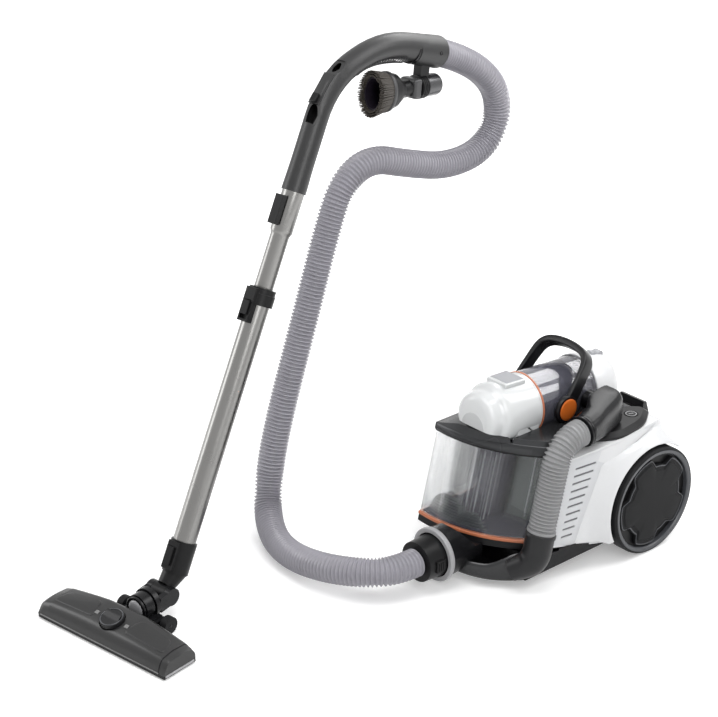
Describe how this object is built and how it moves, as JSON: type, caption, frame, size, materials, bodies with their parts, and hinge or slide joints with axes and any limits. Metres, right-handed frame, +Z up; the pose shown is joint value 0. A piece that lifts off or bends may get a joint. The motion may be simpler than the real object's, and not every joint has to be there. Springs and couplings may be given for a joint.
{
  "type": "canister vacuum cleaner",
  "caption": "Bagless canister vacuum cleaner with clear dust bin, cyclone, side hose, suction hose, bent handle, telescopic wand and floor head.",
  "frame": {"origin": "on the floor, under the middle of the box round all pieces except the suction hose", "axes": "+Z up; +Y towards the rear of the canister; the hose inlet faces -Y; +X is the side of the canister with the side hose"},
  "size_m": [0.4573, 0.8862, 0.7232],
  "materials": {
    "black_gloss": "gloss",
    "black_satin": "satin",
    "dark_grey_satin": "satin",
    "white_gloss": "gloss",
    "light_grey": "satin",
    "hose_grey": "ribbed satin",
    "clear_smoke": "transparent",
    "clear_frost": "translucent",
    "smoke": "transparent",
    "orange": "satin",
    "wheel_grey": "matt",
    "tube_metal": "brushed",
    "motor_metal": "satin",
    "steel": "plain",
    "filter_felt": "felt",
    "bristle": "bristle"
  },
  "bodies": {
    "canister": {"base_pan": "black_gloss", "connector_ring": "light_grey", "lower_elbow": "black_gloss", "side_hose": "hose_grey", "upper_duct": "black_gloss", "control_deck": "black_satin", "inner_chassis": "black_satin", "side_panel_left": "white_gloss", "side_panel_right": "white_gloss", "motor_housing": "motor_metal", "motor_filter": "filter_felt", "exhaust_filter": "filter_felt", "cord_outlet": "black_satin", "main_hose": "hose_grey", "handle_grip": "black_satin", "wand_upper_tube": "tube_metal"},
    "dust_unit": {"bin_shell": "clear_smoke", "bin_gasket": "orange", "bin_floor": "black_satin", "bin_lid": "black_gloss", "bin_shroud": "black_satin", "bin_mesh": "black_satin", "cyclone_cap": "clear_frost", "cap_hatch": "light_grey", "cyclone_ring": "orange", "cyclone_body": "smoke", "cyclone_core": "dark_grey_satin", "cyclone_dome": "white_gloss"},
    "carry_arch": {"carry_handle": "black_satin", "handle_caps": "orange"},
    "wheel_left": {"rear_wheel_left": "wheel_grey", "wheel_cover_left": "black_satin"},
    "wheel_right": {"rear_wheel_right": "wheel_grey", "wheel_cover_right": "black_satin"},
    "caster": {"caster_fork": "black_satin"},
    "caster_roller": {"caster_wheel": "wheel_grey"},
    "power_key": {"power_button": "black_satin"},
    "rewind_key": {"rewind_button": "black_satin"},
    "rear_door": {"rear_cover": "white_gloss"},
    "door_latch": {"rear_latch": "dark_grey_satin"},
    "rotor": {"motor_rotor": "steel"},
    "reel": {"cord_reel": "black_satin"},
    "cuff": {"hose_cuff": "black_satin"},
    "cuff_key": {"cuff_latch": "black_satin"},
    "air_slider": {"suction_slider": "dark_grey_satin"},
    "dusting_brush": {"brush_tool": "dark_grey_satin", "brush_bristles": "bristle"},
    "wand_key": {"wand_button": "black_satin"},
    "lower_wand": {"wand_lower_tube": "tube_metal", "telescope_collar": "black_satin", "neck_tube": "black_satin"},
    "telescope_key": {"telescope_slider": "black_satin"},
    "neck_key": {"neck_button": "black_satin"},
    "elbow": {"neck_elbow": "black_satin"},
    "yoke": {"nozzle_yoke": "dark_grey_satin"},
    "head_rollers": {"nozzle_wheels": "wheel_grey"},
    "nozzle": {"nozzle_cover": "dark_grey_satin", "nozzle_sole": "light_grey"},
    "pedal": {"nozzle_pedal": "dark_grey_satin"},
    "strip": {"brush_strip": "bristle"}
  },
  "joints": [
    {"name": "dust_unit_lift", "type": "slide", "parent": "canister", "child": "dust_unit", "axis": [0, 0, 1], "range_m": [0, 0.2]},
    {"name": "carry_handle_swing", "type": "hinge", "parent": "dust_unit", "child": "carry_arch", "pos_m": [0.08212, 0.25013, 0.2301], "axis": [1, 0, 0], "range_deg": [0, 60]},
    {"name": "left_wheel_roll", "type": "hinge", "parent": "canister", "child": "wheel_left", "pos_m": [0.21412, 0.34819, 0.083], "axis": [1, 0, 0], "continuous": true},
    {"name": "right_wheel_roll", "type": "hinge", "parent": "canister", "child": "wheel_right", "pos_m": [-0.04988, 0.34819, 0.083], "axis": [1, 0, 0], "continuous": true},
    {"name": "caster_swivel", "type": "hinge", "parent": "canister", "child": "caster", "pos_m": [0.08212, 0.17618, 0.03], "axis": [0, 0, 1], "continuous": true},
    {"name": "caster_roll", "type": "hinge", "parent": "caster", "child": "caster_roller", "pos_m": [0.08212, 0.18718, 0.014], "axis": [1, 0, 0], "continuous": true},
    {"name": "power_press", "type": "slide", "parent": "canister", "child": "power_key", "axis": [0, 0, -1], "range_m": [0, 0.0015], "stiffness_N_per_m": 400, "springref_m": -0.0006},
    {"name": "rewind_press", "type": "slide", "parent": "canister", "child": "rewind_key", "axis": [0, 0, -1], "range_m": [0, 0.0015], "stiffness_N_per_m": 400, "springref_m": -0.0006},
    {"name": "rear_door_open", "type": "hinge", "parent": "canister", "child": "rear_door", "pos_m": [0.08212, 0.42318, 0.068], "axis": [-1, 0, 0], "range_deg": [0, 80]},
    {"name": "door_latch_lift", "type": "slide", "parent": "rear_door", "child": "door_latch", "axis": [0, -0.5039, 0.8638], "range_m": [0, 0.0025], "stiffness_N_per_m": 400, "springref_m": -0.0006},
    {"name": "rotor_spin", "type": "hinge", "parent": "canister", "child": "rotor", "pos_m": [0.11812, 0.32618, 0.08], "axis": [0, 0, 1], "continuous": true},
    {"name": "reel_spin", "type": "hinge", "parent": "canister", "child": "reel", "pos_m": [0.01112, 0.33618, 0.098], "axis": [1, 0, 0], "continuous": true},
    {"name": "hose_cuff_turn", "type": "hinge", "parent": "canister", "child": "cuff", "pos_m": [0.08212, 0.02819, 0.047], "axis": [0, 1, 0], "continuous": true},
    {"name": "cuff_latch_press", "type": "slide", "parent": "cuff", "child": "cuff_key", "axis": [-1, 0, 0], "range_m": [0, 0.0015], "stiffness_N_per_m": 400, "springref_m": -0.0006},
    {"name": "air_slider_slide", "type": "slide", "parent": "canister", "child": "air_slider", "axis": [-0.1148, 0.7016, 0.7033], "range_m": [0, 0.014]},
    {"name": "brush_unclip", "type": "slide", "parent": "canister", "child": "dusting_brush", "axis": [0, 0, -1], "range_m": [0, 0.03]},
    {"name": "wand_button_press", "type": "slide", "parent": "canister", "child": "wand_key", "axis": [-0.1426, 0.8715, -0.4692], "range_m": [0, 0.0012], "stiffness_N_per_m": 400, "springref_m": -0.0006},
    {"name": "wand_telescope", "type": "slide", "parent": "canister", "child": "lower_wand", "axis": [0.0758, -0.463, -0.8831], "range_m": [-0.06, 0.19]},
    {"name": "telescope_release", "type": "slide", "parent": "lower_wand", "child": "telescope_key", "axis": [0.0758, -0.463, -0.8831], "range_m": [0, 0.006], "stiffness_N_per_m": 300, "springref_m": -0.0008},
    {"name": "neck_button_press", "type": "slide", "parent": "lower_wand", "child": "neck_key", "axis": [-0.1426, 0.8715, -0.4692], "range_m": [0, 0.0012], "stiffness_N_per_m": 400, "springref_m": -0.0006},
    {"name": "neck_pitch", "type": "hinge", "parent": "lower_wand", "child": "elbow", "pos_m": [-0.10627, -0.2947, 0.033], "axis": [0.9869, 0.1615, 0], "range_deg": [-30, 30]},
    {"name": "neck_swivel", "type": "hinge", "parent": "elbow", "child": "yoke", "pos_m": [-0.09965, -0.33516, 0.03], "axis": [-0.1615, 0.9869, 0], "range_deg": [-60, 60]},
    {"name": "head_roller_spin", "type": "hinge", "parent": "yoke", "child": "head_rollers", "pos_m": [-0.10126, -0.3253, 0.0125], "axis": [0.9869, 0.1615, 0], "continuous": true},
    {"name": "nozzle_tilt", "type": "hinge", "parent": "yoke", "child": "nozzle", "pos_m": [-0.09787, -0.34602, 0.014], "axis": [0.9869, 0.1615, 0], "range_deg": [-10, 10]},
    {"name": "pedal_rock", "type": "hinge", "parent": "nozzle", "child": "pedal", "pos_m": [-0.09093, -0.38846, 0.0285], "axis": [0.9869, 0.1615, 0], "range_deg": [-7, 7]},
    {"name": "strip_drop", "type": "slide", "parent": "nozzle", "child": "strip", "axis": [0, 0, -1], "range_m": [-0.0018, 0.0018]}
  ],
  "couplings": [
    {"joint": "strip_drop", "follows": "pedal_rock", "m_per_rad": 0.0145}
  ]
}
